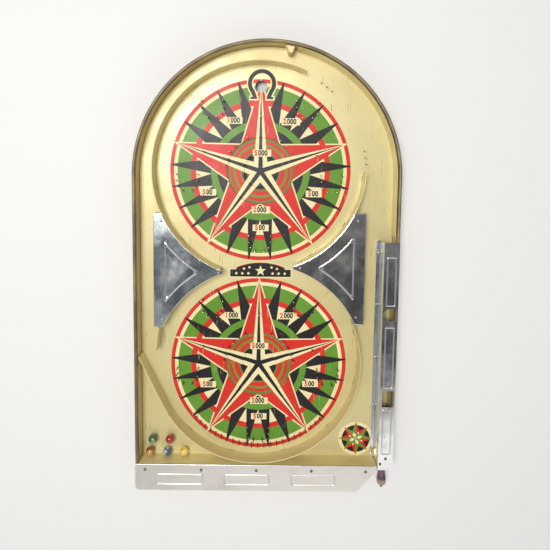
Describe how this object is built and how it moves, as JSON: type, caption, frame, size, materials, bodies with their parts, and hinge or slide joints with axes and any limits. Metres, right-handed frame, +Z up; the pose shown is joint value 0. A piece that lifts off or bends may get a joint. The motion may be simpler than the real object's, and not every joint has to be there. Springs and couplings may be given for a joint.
{
  "type": "tabletop pin-ball board",
  "caption": "Pressed tin tabletop ball game: arched tray, printed playfield with wire pin pockets, rails, covered ball lane, spring plunger and folding prop stand.",
  "frame": {"origin": "middle of the foot of the box around the whole board, lying on its back", "axes": "+X to the player's right, toward the ball lane; +Y from the plunger toward the arch; +Z up out of the playfield"},
  "size_m": [0.356, 0.616, 0.0394],
  "materials": {
    "case_bronze": "satin lacquer",
    "gold_lacquer": "satin lacquer",
    "printed_field": "lithographed lacquer",
    "bright_tin": "bright plated, dented",
    "satin_tin": "satin plated",
    "steel": "plain",
    "pin_wire": "drawn wire",
    "knob_plastic": "semi gloss",
    "yellow_glass": "polished",
    "blue_glass": "polished",
    "amber_glass": "polished",
    "green_glass": "polished",
    "red_glass": "polished"
  },
  "bodies": {
    "case": {"case_band": "case_bronze", "case_arch_left": "case_bronze", "case_arch_right": "case_bronze", "rebound_stop": "case_bronze", "playfield": "printed_field", "runway_liner": "gold_lacquer", "upper_rail_left": "gold_lacquer", "upper_rail_right": "gold_lacquer", "left_gusset_rail": "gold_lacquer", "right_gusset_rail": "gold_lacquer", "lower_left_rail": "gold_lacquer", "lower_rail": "gold_lacquer", "left_gusset": "bright_tin", "right_gusset": "bright_tin", "lane_cover": "bright_tin", "apron": "satin_tin", "left_gusset_rivet_top": "steel", "left_gusset_rivet_bottom": "steel", "left_gusset_rivet_tip": "steel", "right_gusset_rivet_top": "steel", "right_gusset_rivet_bottom": "steel", "right_gusset_rivet_tip": "steel", "lane_cover_screw_1": "steel", "lane_cover_screw_2": "steel", "apron_bracket": "steel", "apron_screw_1": "steel", "apron_screw_2": "steel", "apron_screw_3": "steel", "apron_screw_4": "steel", "apron_screw_5": "steel", "plunger_bush": "steel", "plunger_nut": "steel", "upper_top_left_pocket_pins": "pin_wire", "upper_top_right_pocket_pins": "pin_wire", "upper_left_pocket_pins": "pin_wire", "upper_right_pocket_pins": "pin_wire", "upper_bottom_pocket_pins": "pin_wire", "upper_cup_guard_pins": "pin_wire", "lower_top_left_pocket_pins": "pin_wire", "lower_top_right_pocket_pins": "pin_wire", "lower_left_pocket_pins": "pin_wire", "lower_right_pocket_pins": "pin_wire", "lower_bottom_pocket_pins": "pin_wire", "lower_cup_guard_pins": "pin_wire", "gate_pins_top": "pin_wire", "gate_pins_side": "pin_wire", "bottom_fence_pins": "pin_wire", "stand_clip_left": "steel", "stand_clip_right": "steel"},
    "plunger": {"plunger_rod": "steel", "plunger_striker": "steel", "plunger_collar": "steel", "plunger_knob": "knob_plastic", "plunger_spring": "steel"},
    "stand": {"prop_stand": "steel"},
    "marble_yellow": {"marble_yellow": "yellow_glass"},
    "marble_blue": {"marble_blue": "blue_glass"},
    "marble_amber": {"marble_amber": "amber_glass"},
    "marble_green": {"marble_green": "green_glass"},
    "marble_red": {"marble_red": "red_glass"}
  },
  "joints": [
    {"name": "plunger_pull", "type": "slide", "parent": "case", "child": "plunger", "axis": [0, -1, 0], "range_m": [0, 0.032], "stiffness_N_per_m": 90, "deforming": ["plunger_spring"]},
    {"name": "stand_swing", "type": "hinge", "parent": "case", "child": "stand", "pos_m": [0, 0.196, 0.006], "axis": [1, 0, 0], "range_deg": [0, 80]},
    {"name": "yellow_marble_roll", "type": "slide", "parent": "case", "child": "marble_yellow", "axis": [1, 0, 0], "range_m": [0, 0.008]},
    {"name": "blue_marble_roll", "type": "slide", "parent": "case", "child": "marble_blue", "axis": [1, 0, 0], "range_m": [0, 0.008]},
    {"name": "amber_marble_roll", "type": "slide", "parent": "case", "child": "marble_amber", "axis": [1, 0, 0], "range_m": [0, 0.008]},
    {"name": "green_marble_roll", "type": "slide", "parent": "case", "child": "marble_green", "axis": [1, 0, 0], "range_m": [0, 0.008]},
    {"name": "red_marble_roll", "type": "slide", "parent": "case", "child": "marble_red", "axis": [1, 0, 0], "range_m": [0, 0.008]}
  ]
}
